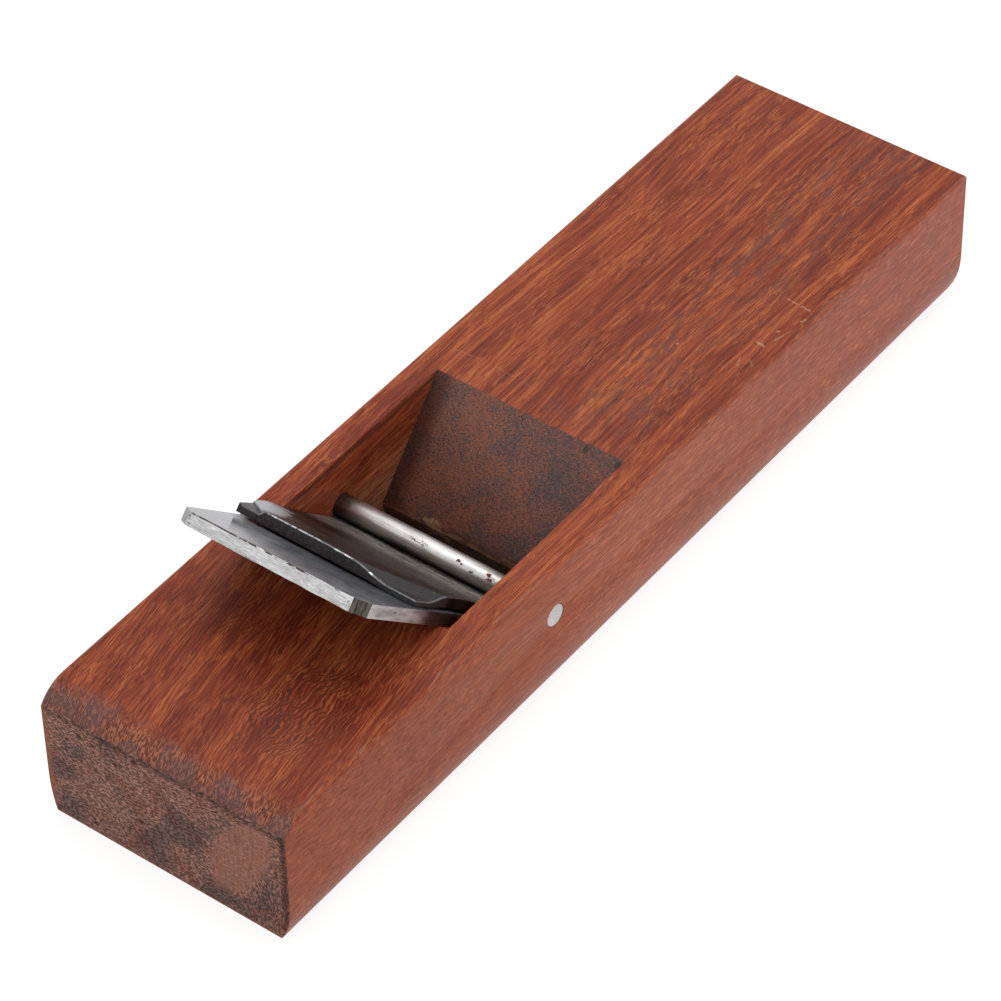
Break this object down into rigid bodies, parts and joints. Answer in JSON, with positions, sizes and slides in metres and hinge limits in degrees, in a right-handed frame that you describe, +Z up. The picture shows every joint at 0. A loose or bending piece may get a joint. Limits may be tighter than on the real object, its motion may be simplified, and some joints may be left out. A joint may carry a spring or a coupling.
{
  "type": "hand plane",
  "caption": "Wooden pull plane: a hardwood block with a sloping bed, a laminated iron, a chip breaker and a steel cross pin that wedges them in place.",
  "frame": {"origin": "bottom centre of the plane's box, on the sole", "axes": "+X along the block from the tail to the toe, the way the plane is pulled; +Y to the left; +Z up, away from the sole"},
  "size_m": [0.252, 0.065, 0.0616],
  "materials": {
    "block_wood": "oiled reddish-brown hardwood with fine streaky grain, worn darker at the tail",
    "pin_steel": "satin steel rod with a few rust specks",
    "iron": "dark blue-grey forged iron, bright where the head is struck and ground",
    "hard_steel": "ground and polished hard steel",
    "breaker_steel": "hammered dark forge skin, bright along the worn head edge"
  },
  "bodies": {
    "block": {"body_block": "block_wood", "cross_pin": "pin_steel"},
    "iron": {"iron_back": "iron", "cutting_steel": "hard_steel"},
    "breaker": {"chip_breaker": "breaker_steel"}
  },
  "joints": [
    {"name": "iron_slide", "type": "slide", "parent": "block", "child": "iron", "axis": [-0.7373, 0, 0.6756], "range_m": [-0.0009, 0.026]},
    {"name": "breaker_slide", "type": "slide", "parent": "iron", "child": "breaker", "axis": [-0.7373, 0, 0.6756], "range_m": [-0.0006, 0.026]}
  ]
}
